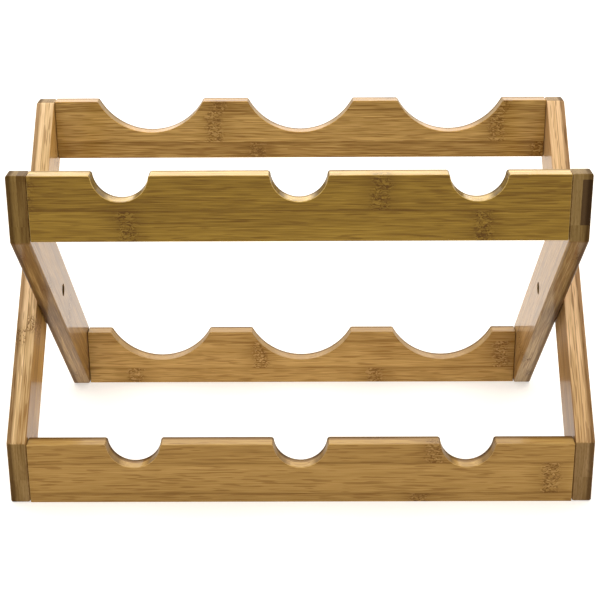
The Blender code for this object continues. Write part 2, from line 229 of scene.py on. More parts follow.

# What each wooden piece is cut from. Colours are linear: `mean` is the wide faces' colour, and the
# narrow faces and the sawn ends are that times `flank` and `end`. `mean` and `flank` are partly the
# wood's own colours and partly painted light and shade, lighter where a piece is lit and darker
# where it is shaded. `strip` is the width of a strip and `edge` the height of one glue line between
# strips; `split` is the glue line between the two layers. `tones` are the layers' strips from the
# lowest up, from -0.5 dark to 0.5 light, and `nodes` the place along each strip of one of the cane's
# joints. The joints are `apart` from each other. `light_drift` is painted light and shade: the change
# of
# tone per metre along the piece, on the wide faces and on the narrow ones. `middle` is painted light:
# how much lighter the narrow faces are halfway along. Shade is painted on the narrow faces beside
# the wide face with the sign `shade_side` along Z, and `edge_highlight` is how pale a painted
# highlight makes the rounded edges.
# `grain` is the strength of the streaks, and `gloss` that of the lacquer.
CANE = {
    "outer_board_left": {
        "mean": (0.41, 0.23, 0.063),
        "flank": (1.6, 1.98, 3.75),
        "end": (0.56, 0.615, 0.79),
        "strip": 0.021,
        "edge": 0.001,
        "split": 0.0006,
        "tones": ((-0.05, 0.05, 0.02, 0), (0.08, -0.1, 0.04, 0)),
        "nodes": ((0.07, -0.045, 0, 0), (0.11, -0.035, 0, 0)),
        "apart": 0.222,
        "light_drift": (3.0, 2.3),
        "middle": 0.38,
        "shade_side": -1,
        "edge_highlight": 0.2,
        "grain": 0.7,
        "gloss": 0.54,
        "seed": 1,
    },
    "outer_board_right": {
        "mean": (0.328, 0.188, 0.07),
        "flank": (1.78, 2.02, 2.66),
        "end": (0.64, 0.675, 0.7),
        "strip": 0.0225,
        "edge": 0.002,
        "split": -0.0004,
        "tones": ((0.08, 0.06, 0, 0), (-0.04, 0.12, 0, 0)),
        "nodes": ((0.02, 0.06, 0, 0), (-0.06, 0.066, 0, 0)),
        "apart": 0.222,
        "light_drift": (5.0, 1.9),
        "middle": 0.42,
        "shade_side": 1,
        "edge_highlight": 0.2,
        "grain": 0.68,
        "gloss": 0.5,
        "seed": 2,
    },
    "inner_board_left": {
        "mean": (0.31, 0.177, 0.059),
        "flank": (0.79, 0.785, 0.69),
        "end": (0.59, 0.635, 0.55),
        "strip": 0.0213,
        "edge": -0.0087,
        "split": 0.0006,
        "tones": ((0.05, 0.02, 0.0, 0), (-0.4, -0.26, -0.25, 0)),
        "nodes": ((-0.09, 0.03, -0.12, 0), (0.08, -0.03, 0.05, 0)),
        "apart": 0.222,
        "light_drift": (0.0, -2.6),
        "middle": 0.0,
        "shade_side": -1,
        "edge_highlight": 0.2,
        "grain": 0.9,
        "gloss": 0.72,
        "seed": 3,
    },
    "inner_board_right": {
        "mean": (0.30, 0.170, 0.058),
        "flank": (0.9, 1.0, 1.14),
        "end": (0.64, 0.72, 0.72),
        "strip": 0.0213,
        "edge": -0.0087,
        "split": -0.0002,
        "tones": ((0.1, 0.1, -0.05, 0), (0.0, -0.5, -0.12, 0)),
        "nodes": ((0.06, -0.1, -0.09, 0), (-0.02, 0.05, 0.1, 0)),
        "apart": 0.222,
        "light_drift": (0.0, -2.6),
        "middle": 0.0,
        "shade_side": 1,
        "edge_highlight": 0.2,
        "grain": 0.9,
        "gloss": 0.66,
        "seed": 4,
    },
    "rail_front_lower": {
        "mean": (0.37, 0.215, 0.06),
        "flank": (1.1, 1.18, 1.3),
        "end": (0.6, 0.6, 0.6),
        "strip": 0.0225,
        "edge": 0.0065,
        "split": -0.0012,
        # The back layer is darker partly in the wood and partly as painted shade on the back of the
        # rail's top.
        "tones": ((-0.38, -0.38, -0.38, 0), (-0.03, 0.07, -0.06, 0)),
        "nodes": ((0.05, -0.1, 0.05, 0), (0.079, 0.167, 0.089, 0)),
        "apart": 0.36,
        "light_drift": (0.0, 0.0),
        "middle": 0.0,
        "shade_side": -1,
        "edge_highlight": 0.6,
        "grain": 0.46,
        "gloss": 0.72,
        "seed": 5,
    },
    "rail_front_upper": {
        "mean": (0.229, 0.134, 0.0172),
        "flank": (2.35, 2.72, 6.3),
        "end": (0.6, 0.6, 0.6),
        "strip": 0.0228,
        "edge": 0.0202,
        "split": 0.001,
        "tones": ((0.05, 0.1, 0, 0), (0.03, -0.03, 0, 0)),
        "nodes": ((0.02, -0.12, 0, 0), (-0.107, 0.0507, 0, 0)),
        "apart": 0.222,
        "light_drift": (0.0, 0.0),
        "middle": 0.0,
        "shade_side": -1,
        "edge_highlight": 0.6,
        "grain": 0.82,
        "gloss": 0.72,
        "seed": 6,
    },
    "rail_back_lower": {
        "mean": (0.475, 0.285, 0.087),
        "flank": (0.68, 0.66, 0.58),
        "end": (0.6, 0.6, 0.6),
        "strip": 0.0225,
        "edge": 0.0124,
        "split": 0.0008,
        "tones": ((0.0, 0.05, 0, 0), (0.0, 0.05, -0.08, 0)),
        "nodes": ((0.12, -0.04, 0.1, 0), (-0.132, -0.0325, 0.09, 0)),
        "apart": 0.19,
        "light_drift": (-0.6, -0.3),
        "middle": 0.0,
        "shade_side": -1,
        "edge_highlight": 0.6,
        "grain": 0.62,
        "gloss": 0.72,
        "seed": 7,
    },
    "rail_back_upper": {
        "mean": (0.4, 0.24, 0.066),
        "flank": (0.93, 0.81, 0.52),
        "end": (0.6, 0.6, 0.6),
        "strip": 0.0241,
        "edge": 0.012,
        "split": 0.0,
        "tones": ((0.05, 0.02, 0, 0), (-0.18, 0.13, -0.1, 0)),
        "nodes": ((0.1, -0.02, 0.07, 0), (0.178, -0.064, -0.06, 0)),
        "apart": 0.21,
        "light_drift": (-0.3, -0.3),
        "middle": 0.0,
        "shade_side": -1,
        "edge_highlight": 0.6,
        "grain": 1.0,
        "gloss": 0.72,
        "seed": 8,
    },
}
ZINC = {"bright": (0.60, 0.58, 0.53), "dull": (0.40, 0.38, 0.33), "roughness": 0.30}
BLACKED = {"bright": (0.17, 0.155, 0.14), "dull": (0.05, 0.045, 0.04), "roughness": 0.36}
GROUND = {"bright": (0.62, 0.61, 0.59), "dull": (0.44, 0.43, 0.41), "roughness": 0.22}


class Graph:
    """Adds nodes to a tree. Each method gives the new node's output."""

    def __init__(self, tree):
        self.tree = tree

    def feed(self, socket, value):
        if isinstance(value, bpy.types.NodeSocket):
            self.tree.links.new(value, socket)
        else:
            socket.default_value = value

    def node(self, kind, inputs=None, **settings):
        made = self.tree.nodes.new(kind)
        for name, value in settings.items():
            setattr(made, name, value)
        for key, value in (inputs or {}).items():
            self.feed(made.inputs[key], value)
        return made

    def math(self, operation, *values):
        made = self.node("ShaderNodeMath", operation=operation)
        for socket, value in zip(made.inputs, values):
            self.feed(socket, value)
        return made.outputs[0]

    def total(self, start, *parts):
        """start plus each (value, weight) of parts."""
        result = start
        for value, weight in parts:
            result = self.math("MULTIPLY_ADD", value, weight, result)
        return result

    def smooth(self, value, low, high):
        """0 below low and 1 above high, or the other way round if low is the greater."""
        inputs = {"Value": value, "From Min": low, "From Max": high}
        made = self.node("ShaderNodeMapRange", inputs, interpolation_type="SMOOTHSTEP")
        return made.outputs[0]

    def split(self, vector):
        return self.node("ShaderNodeSeparateXYZ", {0: vector}).outputs

    def join(self, x, y, z):
        return self.node("ShaderNodeCombineXYZ", {0: x, 1: y, 2: z}).outputs[0]

    def turned(self, vector, angles):
        if not any(angles):
            return vector
        inputs = {"Vector": vector, "Rotation": angles}
        return self.node("ShaderNodeVectorRotate", inputs, rotation_type="EULER_XYZ").outputs[0]

    def noise(self, vector, detail=2.0, roughness=0.5, distortion=0.0):
        inputs = {
            "Vector": vector,
            "Scale": 1.0,
            "Detail": detail,
            "Roughness": roughness,
            "Distortion": distortion,
        }
        return self.node("ShaderNodeTexNoise", inputs).outputs["Fac"]

    def ramp(self, value, stops, interpolation="LINEAR"):
        made = self.node("ShaderNodeValToRGB", {0: value})
        ramp = made.color_ramp
        ramp.interpolation = interpolation
        while len(ramp.elements) < len(stops):
            ramp.elements.new(1.0)
        for element, (position, colour) in zip(ramp.elements, stops):
            element.position = position
            element.color = colour
        return made.outputs[0]

    def choice(self, number, values):
        """The one of these values, each between -0.5 and 0.5, that a whole number picks."""
        stops = [(place / len(values), grey(0.5 + value)) for place, value in enumerate(values)]
        place = self.math("DIVIDE", self.math("ADD", number, 0.5), len(values))
        return self.math("SUBTRACT", self.ramp(place, stops, "CONSTANT"), 0.5)

    def mix(self, amount, first, second, blend="MIX"):
        inputs = {0: amount, 6: first, 7: second}
        made = self.node("ShaderNodeMix", inputs, data_type="RGBA", blend_type=blend)
        return made.outputs[2]


def new_material(name):
    material = bpy.data.materials.new(name)
    material.use_nodes = True
    return material, Graph(material.node_tree), material.node_tree.nodes["Principled BSDF"]


def tinted(colour, factors):
    return tuple(min(1.0, part * factor) for part, factor in zip(colour[:3], factors)) + (1,)


def grey(level):
    return (level, level, level, 1)


class Wood:
    """What a bamboo material is mixed from, as node outputs, each found in the grain's own axes.

    turn takes the piece's own axes to the grain's: X along it, Y across the strips, Z through them.
    """

    def __init__(self, graph, cane, turn):
        self.graph = graph
        self.cane = cane
        self.find_faces(turn)
        self.find_strips()
        self.find_glue()
        self.find_streaks()
        self.find_joints()
        self.find_sawn()

    def find_faces(self, turn):
        """Where a point is: on a sawn end, a narrow face, or a rounded edge with a painted highlight.
        """
        graph = self.graph
        place = graph.node("ShaderNodeTexCoord")
        self.x, self.y, self.z = graph.split(graph.turned(place.outputs["Object"], turn))
        normal_x, normal_y, normal_z = graph.split(graph.turned(place.outputs["Normal"], turn))
        self.end_grain = graph.smooth(graph.math("ABSOLUTE", normal_x), *END_FACING)
        self.flank = graph.smooth(graph.math("ABSOLUTE", normal_y), *FLANK_FACING)
        self.on_wide = graph.math("SUBTRACT", 1, self.flank)
        self.facing = graph.math("ABSOLUTE", normal_z)
        squared = graph.math("POWER", self.facing, 2.0)
        sideways = graph.math("SQRT", graph.math("SUBTRACT", 1, squared))
        self.edge_highlight_mask = graph.smooth(graph.math("MINIMUM", self.facing, sideways), *EDGE_HIGHLIGHT_FACING)

    def find_strips(self):
        """Which strip of which layer a point is in, how light that is, and where its joint is."""
        graph, cane = self.graph, self.cane
        layer = graph.math("GREATER_THAN", self.z, cane["split"])
        above = graph.math("SUBTRACT", self.y, cane["edge"])
        self.rows = graph.math("DIVIDE", above, cane["strip"])
        strip = graph.math("ADD", graph.math("FLOOR", self.rows), 1)
        self.cell = graph.math("MULTIPLY_ADD", layer, STRIPS, strip)
        self.cell_tone = graph.choice(self.cell, [tone for row in cane["tones"] for tone in row])
        self.node_place = graph.choice(self.cell, [at for row in cane["nodes"] for at in row])

    def find_glue(self):
        """Glue lines between strips and between the layers, and the darker wood beside them."""
        graph, cane = self.graph, self.cane
        part = graph.math("FRACT", self.rows)
        nearest = graph.math("MINIMUM", part, graph.math("SUBTRACT", 1, part))
        from_line = graph.math("MULTIPLY", nearest, cane["strip"])
        strip_line = graph.math("MULTIPLY", graph.smooth(from_line, *STRIP_GLUE), self.on_wide)
        depth = graph.math("ABSOLUTE", graph.math("SUBTRACT", self.z, cane["split"]))
        self.glue = graph.math("MAXIMUM", strip_line, graph.smooth(depth, *LAYER_GLUE))
        self.beside = graph.math("MULTIPLY", graph.smooth(from_line, *BESIDE_GLUE), self.on_wide)

    def find_streaks(self):
        """Fibres: long streaks that wander a little, different in each strip."""
        graph = self.graph
        along = graph.total(self.x, (self.cell, 5.3), (self.cane["seed"], 11.7))
        bend_place = graph.join(graph.math("MULTIPLY", along, 9.0), self.y, self.z)
        bend = graph.math("SUBTRACT", graph.noise(bend_place, 1.0), 0.5)
        fibre_y = graph.total(self.y, (bend, WANDER[0]))
        fibre_z = graph.total(self.z, (bend, WANDER[1]))

        def streaks(per_metre, across, detail):
            lengthwise = graph.math("MULTIPLY", along, per_metre)
            first = graph.math("MULTIPLY", fibre_y, across)
            second = graph.math("MULTIPLY", fibre_z, across)
            shade = graph.noise(graph.join(lengthwise, first, second), detail)
            return graph.math("SUBTRACT", shade, 0.5)

        self.bands = streaks(*BANDS)
        self.cloud = streaks(*CLOUD)
        self.fibres = streaks(*FIBRES)
        self.hairs = streaks(*HAIRS)
        self.dashes = graph.smooth(streaks(*DASHES), 0.08, 0.18)

    def find_joints(self):
        """The cane's joints: a ragged cluster of short wavy lines over one strip."""
        graph = self.graph
        half_apart = self.cane["apart"] / 2
        rough_y = graph.math("MULTIPLY", self.y, 150.0)
        ragged = graph.noise(graph.join(self.cell, rough_y, self.z), 2.0)
        joint_place = graph.total(self.node_place, (ragged, JOINT_RAGGED))
        shifted = graph.math("SUBTRACT", self.x, joint_place)
        shifted = graph.math("ADD", shifted, JOINT_RAGGED / 2)
        reach = graph.math("ABSOLUTE", graph.math("WRAP", shifted, half_apart, -half_apart))
        cluster = graph.smooth(reach, *JOINT_REACH)
        curl_x = graph.math("MULTIPLY", self.x, CURLS[0])
        curl_y = graph.math("MULTIPLY", self.y, CURLS[1])
        curl_z = graph.math("MULTIPLY", self.z, CURLS[1])
        ripple = graph.noise(graph.join(curl_x, curl_y, curl_z), 1.0, 0.5, 1.1)
        line = graph.math("ABSOLUTE", graph.math("SUBTRACT", ripple, 0.48))
        self.curls = graph.math("MULTIPLY", graph.smooth(line, 0.070, 0.025), cluster)
        glints = graph.math("MULTIPLY", graph.smooth(ripple, 0.54, 0.60), cluster)
        self.glints = graph.math("MULTIPLY", glints, self.on_wide)
        self.halo = graph.smooth(reach, *HALO_REACH)

    def find_sawn(self):
        """The pores and the saw's marks on the sawn ends."""
        graph = self.graph
        pore_x = graph.math("MULTIPLY", self.x, 0.1)
        pore_y = graph.math("MULTIPLY", self.y, 0.2)
        inputs = {"Vector": graph.join(pore_x, pore_y, self.z), "Scale": PORES}
        pores = graph.node("ShaderNodeTexVoronoi", inputs)
        pores = graph.smooth(pores.outputs["Distance"], 0.40, 0.15)
        self.pores = graph.math("MULTIPLY", pores, self.end_grain)
        saw_y = graph.math("MULTIPLY", self.y, SAW_MARKS[0])
        saw_z = graph.math("MULTIPLY", self.z, SAW_MARKS[1])
        marks = graph.noise(graph.join(self.cell, saw_y, saw_z), 2.0)
        self.sawn = graph.math("SUBTRACT", marks, 0.5)

    def painted_shade_band(self):
        """Painted shade: a darker band on a narrow face, beside one of the wide ones."""
        graph, side = self.graph, self.cane["shade_side"]
        low, high = PAINTED_SHADE_REACH
        band = graph.smooth(self.z, low * side, high * side)
        return graph.math("MULTIPLY", band, graph.smooth(self.facing, 0.97, 0.75))

    def tone(self):
        """How light the long grain is: 0 dark, 0.5 the piece's mean and 1 light."""
        graph, cane = self.graph, self.cane
        grain = cane["grain"]
        wide_light_drift, narrow_light_drift = cane["light_drift"]
        halfway = graph.smooth(graph.math("ABSOLUTE", self.x), *MIDDLE_LIGHT_REACH)
        return graph.total(
            0.5,
            (self.cell_tone, 1.0),
            (self.bands, graph.math("MULTIPLY_ADD", self.flank, 0.18, 0.48 * grain)),
            (self.cloud, 0.5 * grain),
            (self.fibres, 1.3 * grain),
            (self.hairs, 1.5 * grain),
            (self.halo, -0.22),
            (self.beside, -0.18),
            # painted light and shade: the tone changes along the piece, on its wide and its narrow
            # faces
            (graph.math("MULTIPLY", self.flank, self.x), narrow_light_drift - wide_light_drift),
            (self.x, wide_light_drift),
            # painted light: the narrow faces lighter halfway along the piece
            (graph.math("MULTIPLY", self.flank, halfway), cane["middle"]),
        )

    def marked(self, colour, mark, strength, tint):
        """The colour with a mark drawn over it, in a tint of the piece's mean colour."""
        amount = self.graph.math("MULTIPLY", mark, strength)
        return self.graph.mix(amount, colour, tinted(self.cane["mean"], tint))

    def end_colour(self, palette):
        """The sawn ends' colour, darkest on the darkest strips' ends."""
        graph = self.graph
        tone = graph.total(0.5, (self.cell_tone, 1.3), (self.sawn, 1.2), (self.cloud, 0.3))
        stops = [(place, tinted(shade, self.cane["end"])) for place, shade in palette]
        colour = self.marked(graph.ramp(tone, stops), self.pores, 0.30, PORE_TINT)
        smoked = graph.mix(1.0, colour, SMOKED_TINT, "MULTIPLY")
        return graph.mix(graph.smooth(self.cell_tone, -0.42, -0.48), colour, smoked)

    def colour(self):
        """The long grain and its marks, the sawn ends, then painted edge highlights and painted shade.
        """
        graph, cane = self.graph, self.cane
        shades = ((0.0, DARKER), (0.5, (1, 1, 1)), (1.0, LIGHTER))
        palette = [(place, tinted(cane["mean"], shade)) for place, shade in shades]
        colour = graph.ramp(self.tone(), palette)
        # the narrow faces' colour: partly the wood's own, partly painted light and shade
        pale = graph.mix(1.0, colour, (*cane["flank"], 1), "MULTIPLY")
        colour = graph.mix(self.flank, colour, pale)
        colour = self.marked(colour, self.dashes, 0.5, DASH_TINT)
        colour = self.marked(colour, self.curls, 0.8, CURL_TINT)
        colour = self.marked(colour, self.glints, 0.35, GLINT_TINT)
        colour = self.marked(colour, self.glue, 0.55, GLUE_TINT)
        colour = graph.mix(self.end_grain, colour, self.end_colour(palette))
        # painted highlight: the rounded edges paler, where they catch the light
        edge_highlight = graph.mix(1.0, pale, EDGE_HIGHLIGHT_TINT, "MULTIPLY")
        colour = graph.mix(graph.math("MULTIPLY", self.edge_highlight_mask, cane["edge_highlight"]), colour, edge_highlight)
        # painted shade: a darker band on the narrow faces beside one wide face
        painted_shade = graph.mix(1.0, colour, PAINTED_SHADE_TINT, "MULTIPLY")
        return graph.mix(graph.math("MULTIPLY", self.painted_shade_band(), 0.9), colour, painted_shade)

    def roughness(self):
        marks = ((self.fibres, 0.3), (self.curls, 0.1), (self.end_grain, 0.16), (self.edge_highlight_mask, -0.05))
        return self.graph.total(ROUGHNESS, *marks)

    def relief(self):
        """The normal of the slightly uneven surface."""
        height = self.graph.total(
            0.5,
            (self.fibres, 0.5),
            (self.hairs, 0.25),
            (self.dashes, -0.25),
            (self.curls, -0.7),
            (self.glue, -0.8),
            (self.pores, -0.5),
        )
        inputs = {"Strength": 0.5, "Distance": 0.00006, "Height": height}
        return self.graph.node("ShaderNodeBump", inputs).outputs[0]

    def lacquer(self):
        """The clear coat's weight: thin on the sawn ends and where shade is painted beside one wide
        face.
        """
        graph, gloss = self.graph, self.cane["gloss"]
        coat = graph.total(gloss, (self.end_grain, END_GLOSS - gloss))
        return graph.math("MULTIPLY", coat, graph.total(1.0, (self.painted_shade_band(), -0.85)))


def bamboo(name, cane, turn=(0, 0, 0)):
    """Laminated bamboo: two layers of strips, fine fibres, the cane's joints and a satin lacquer."""
    material, graph, shader = new_material(name)
    wood = Wood(graph, cane, turn)
    graph.feed(shader.inputs["Base Color"], wood.colour())
    graph.feed(shader.inputs["Roughness"], wood.roughness())
    graph.feed(shader.inputs["Normal"], wood.relief())
    graph.feed(shader.inputs["Coat Weight"], wood.lacquer())
    shader.inputs["Specular IOR Level"].default_value = SPECULAR
    shader.inputs["Coat IOR"].default_value = COAT_IOR
    shader.inputs["Coat Roughness"].default_value = COAT_ROUGHNESS
    return material


def steel(name, finish):
    """Turned metal: fine rings round the axis and plating that varies."""
    material, graph, shader = new_material(name)
    place = graph.node("ShaderNodeTexCoord").outputs["Object"]
    x, y, z = graph.split(place)
    radius = graph.math("SQRT", graph.total(graph.math("MULTIPLY", x, x), (y, y)))
    ring_place = graph.join(
        graph.math("MULTIPLY", radius, RINGS[0]),
        graph.math("MULTIPLY", z, RINGS[1]),
        graph.math("MULTIPLY", x, RINGS[2]),
    )
    rings = graph.noise(ring_place, 2.0)
    scaled = graph.node("ShaderNodeVectorMath", {0: place}, operation="SCALE")
    scaled.inputs["Scale"].default_value = PATCHES
    patches = graph.noise(scaled.outputs[0], 3.0, 0.6)
    tone = graph.total(patches, (graph.math("SUBTRACT", rings, 0.5), 0.5))
    dull = (*finish["dull"], 1)
    bright = (*finish["bright"], 1)
    graph.feed(shader.inputs["Base Color"], graph.ramp(tone, [(0.3, dull), (0.65, bright)]))
    roughness = graph.total(
        finish["roughness"],
        (graph.math("SUBTRACT", rings, 0.5), 0.25),
        (graph.math("SUBTRACT", patches, 0.5), -0.2),
    )
    graph.feed(shader.inputs["Roughness"], roughness)
    height = graph.total(0.0, (rings, 1.0), (patches, 0.4))
    bump = graph.node("ShaderNodeBump", {"Strength": 0.35, "Distance": 0.00002, "Height": height})
    graph.feed(shader.inputs["Normal"], bump.outputs[0])
    shader.inputs["Metallic"].default_value = 1.0
    return material


def evaluated_mesh(item, name):
    """The mesh that this object's modifiers make; the object itself is removed."""
    bpy.context.view_layer.update()
    graph = bpy.context.evaluated_depsgraph_get()
    mesh = bpy.data.meshes.new_from_object(item.evaluated_get(graph))
    mesh.name = name
    bpy.data.objects.remove(item, do_unlink=True)
    return mesh


def arc(centre, radius, start, end, steps):
    """Points on a circle from one angle to another, both ends included."""
    turn = (end - start) / steps
    angles = [start + turn * step for step in range(steps + 1)]
    return [(centre[0] + radius * math.cos(a), centre[1] + radius * math.sin(a)) for a in angles]


def mesh_of(shape, name):
    bmesh.ops.recalc_face_normals(shape, faces=shape.faces)
    mesh = bpy.data.meshes.new(name)
    shape.to_mesh(mesh)
    shape.free()
    return mesh


def loft(name, low_outline, high_outline, low, high):
    """A closed solid between two outlines with the same number of points, at two heights."""
    shape = bmesh.new()
    under = [shape.verts.new((x, y, low)) for x, y in low_outline]
    over = [shape.verts.new((x, y, high)) for x, y in high_outline]
    shape.faces.new(under)
    shape.faces.new(over)
    for number in range(len(under)):
        after = (number + 1) % len(under)
        shape.faces.new((under[number], under[after], over[after], over[number]))
    return mesh_of(shape, name)


def lathe(name, rows, sides, groove=None):
    """A turned solid on the local Z axis, from rows of (radius, height), top first.

    groove gives how far the surface lies under the row's radius, at an angle and a height.
    """
    shape = bmesh.new()
    rings = []
    for radius, height in rows:
        ring = []
        for side in range(sides if radius else 1):
            angle = 2 * math.pi * side / sides
            here = radius - groove(angle, height) if groove and radius else radius
            ring.append(shape.verts.new((here * math.cos(angle), here * math.sin(angle), height)))
        rings.append(ring)
    for upper, lower in zip(rings, rings[1:]):
        for side in range(sides):
            after = side + 1
            corners = (
                upper[side % len(upper)],
                lower[side % len(lower)],
                lower[after % len(lower)],
                upper[after % len(upper)],
            )
            shape.faces.new(list(dict.fromkeys(corners)))
    return mesh_of(shape, name)


def smoothed(mesh, name):
    """The mesh with smooth shading, sharp corners kept, and flat faces that look flat."""
    mesh.shade_smooth()
    mesh.set_sharp_from_angle(angle=SHARP)
    item = bpy.data.objects.new(name, mesh)
    bpy.context.scene.collection.objects.link(item)
    weighted = item.modifiers.new("weighted", "WEIGHTED_NORMAL")
    weighted.keep_sharp = True
    return evaluated_mesh(item, name)


def cut(item, cutter_mesh, matrix):
    """Cuts a mesh, in the world at this matrix, from the object. Gives the cutter, to be removed."""
    cutter = bpy.data.objects.new(item.name + "_cutter", cutter_mesh)
    cutter.matrix_world = matrix
    bpy.context.scene.collection.objects.link(cutter)
    boolean = item.modifiers.new("cut", "BOOLEAN")
    boolean.operation = "DIFFERENCE"
    boolean.solver = "EXACT"
    boolean.object = cutter
    return cutter


def less(mesh, name, matrix, cutters):
    """The mesh less each (mesh, matrix in the world) of cutters, with smooth shading."""
    item = bpy.data.objects.new(name, mesh)
    item.matrix_world = matrix
    bpy.context.scene.collection.objects.link(item)
    helpers = [cut(item, cutter_mesh, place) for cutter_mesh, place in cutters]
    result = evaluated_mesh(item, name)
    for helper in helpers:
        bpy.data.objects.remove(helper, do_unlink=True)
    return smoothed(result, name)


def slab(name, outline, thickness, radius, square_ends_at=None):
    """A plate with this outline in its local XY plane and rounded edges.

    The edges round a face at x = +-square_ends_at, which butts on a board, are less round.
    """
    mesh = loft(name, outline, outline, -thickness / 2, thickness / 2)
    shape = bmesh.new()
    shape.from_mesh(mesh)
    weight = shape.edges.layers.float.new("bevel_weight_edge")
    for edge in shape.edges:
        if edge.calc_face_angle() < SHARP:
            continue
        reach = min(abs(vert.co.x) for vert in edge.verts)
        at_end = square_ends_at is not None and reach > square_ends_at - TINY
        edge[weight] = RAIL_END_ROUND / radius if at_end else 1.0
    shape.to_mesh(mesh)
    shape.free()
    item = bpy.data.objects.new(name, mesh)
    bpy.context.scene.collection.objects.link(item)
    bevel = item.modifiers.new("round", "BEVEL")
    bevel.limit_method = "WEIGHT"
    bevel.width = radius
    bevel.segments = ROUND_STEPS
    bevel.use_clamp_overlap = False
    return evaluated_mesh(item, name)


def notch(centre, high, radius, deep, steps):
    """A round notch in a rail's top edge, from left to right, with rounded lips.

    The notch's circle has its centre `rise` above the rail's top. Each lip is a small circle that
    touches both the top and the notch.
    """
    rise = radius - deep
    lip_x = math.sqrt((radius + LIP_RADIUS) ** 2 - (rise + LIP_RADIUS) ** 2)
    lip_y = high - LIP_RADIUS
    meet = math.atan2(rise + LIP_RADIUS, lip_x)
    left = arc((centre - lip_x, lip_y), LIP_RADIUS, math.pi / 2, meet, LIP_STEPS)
    low = arc((centre, high + rise), radius, math.pi + meet, 2 * math.pi - meet, steps)
    right = arc((centre + lip_x, lip_y), LIP_RADIUS, math.pi - meet, math.pi / 2, LIP_STEPS)
    return left[:-1] + low + right[1:]


def rail_outline(half_length, high, notches):
    """A rail seen from the front: its underside at height 0 and three notches in its top."""
    points = [(-half_length, 0), (-half_length, high)]
    for place_in_row in (-1, 0, 1):
        points += notch(place_in_row * PITCH, high, **notches)
    return points + [(half_length, high), (half_length, 0)]


def board_axes(x, mirror):
    """A side board's place: X up along the board, Z to the right, the origin on the pivot line.

    mirror is 1 for the outer boards, front foot to back top, and -1 for the inner ones.
    """
    run, rise = mirror * math.cos(SLOPE), math.sin(SLOPE)
    return Matrix(((0, 0, 1, x), (run, -rise, 0, PIVOT.y), (rise, run, 0, PIVOT.z), (0, 0, 0, 1)))


def board_outline(mirror):
    """A side board in its own axes. Its ends are cut upright and level."""
    front, back, toe = -DEPTH / 2, DEPTH / 2, DEPTH / 2 - FOOT_CUT
    corners = (
        (front, 0),
        (-toe, 0),
        (back, HEIGHT - END_CUT),
        (back, HEIGHT),
        (toe, HEIGHT),
        (front, END_CUT),
    )
    into = board_axes(0, mirror).inverted()
    local = [into @ Vector((0, mirror * y, z)) for y, z in corners]
    return [(point.x, point.y) for point in local]


def across(x, y, z, side):
    """Puts a turned piece's local +Z along X, away from the middle on this side."""
    return Matrix.Translation((x, y, z)) @ Matrix.Rotation(side * math.pi / 2, 4, "Y")


def upright_side(x):
    """Puts an outline drawn as (y, z) in an upright plane at this x."""
    return Matrix(((0, 0, 1, x), (1, 0, 0, 0), (0, 1, 0, 0), (0, 0, 0, 1)))


def centre_of(node):
    low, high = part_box(node)
    return (low + high) / 2


def thread(pitch, deep, start, end):
    """A groove that winds down a shank from start to end, and fades in over its first turn."""

    def groove(angle, height):
        if not end < height < start:
            return 0
        turn = (height / pitch + angle / (2 * math.pi)) % 1
        fade = min(1, (start - height) / pitch)
        return deep * fade * (1 - abs(2 * turn - 1))

    return groove


def heights(start, end, pitch):
    """Heights from start down to end, close enough together to carry a thread."""
    steps = round((start - end) / pitch * ROWS_PER_TURN)
    return [start + (end - start) * step / steps for step in range(steps + 1)]


def show(node, mesh, matrix, material):
    """Puts a fine piece in the place of its CAD node."""
    item = bpy.data.objects.new(node + "_fine", mesh)
    item.matrix_world = matrix
    bpy.context.scene.collection.objects.link(item)
    if not mesh.materials:
        mesh.materials.append(material)
    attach(item, BODY_OF[node])
    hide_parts(node)


def screw_hole():
    """The countersunk hole that a wood screw sits in."""
    cone_end = -SCREW_RIM - (SCREW_HEAD - SCREW_RADIUS) - GAP / 2
    rows = (
        (0, CUT_PAST),
        (SCREW_HEAD + GAP, CUT_PAST),
        (SCREW_HEAD + GAP, -SCREW_RIM - GAP / 2),
        (SCREW_RADIUS + GAP, cone_end),
        (SCREW_RADIUS + GAP, SCREW_TIP - SCREW_LONG - GAP),
        (0, -SCREW_LONG - GAP),
    )
    return lathe("screw_hole", rows, METAL_SIDES)


def pivot_hole():
    """The stepped hole through both boards, from the outer board's outer face at height 0."""
    flange_floor = -(GAP + FLANGE_THICK + GAP)
    sink_floor = -(OUTER_OUT - INNER_IN - SINK_DEEP)
    beyond = -(OUTER_OUT - INNER_IN) - CUT_PAST
    rows = (
        (0, CUT_PAST),
        (FLANGE_RADIUS + GAP, CUT_PAST),
        (FLANGE_RADIUS + GAP, flange_floor),
        (POST_RADIUS + PIVOT_CLEAR, flange_floor),
        (POST_RADIUS + PIVOT_CLEAR, sink_floor),
        (SINK_RADIUS, sink_floor),
        (SINK_RADIUS, beyond),
        (0, beyond),
    )
    return lathe("pivot_hole", rows, METAL_SIDES)


def pin_hole():
    """The blind hole in an outer board that a stop pin sits in, with the pin's end at height 0."""
    mouth = -PIN_IN_OUTER - CUT_PAST
    rows = ((0, GAP), (PIN_RADIUS + GAP, GAP), (PIN_RADIUS + GAP, mouth), (0, mouth))
    return lathe("pin_hole", rows, METAL_SIDES)


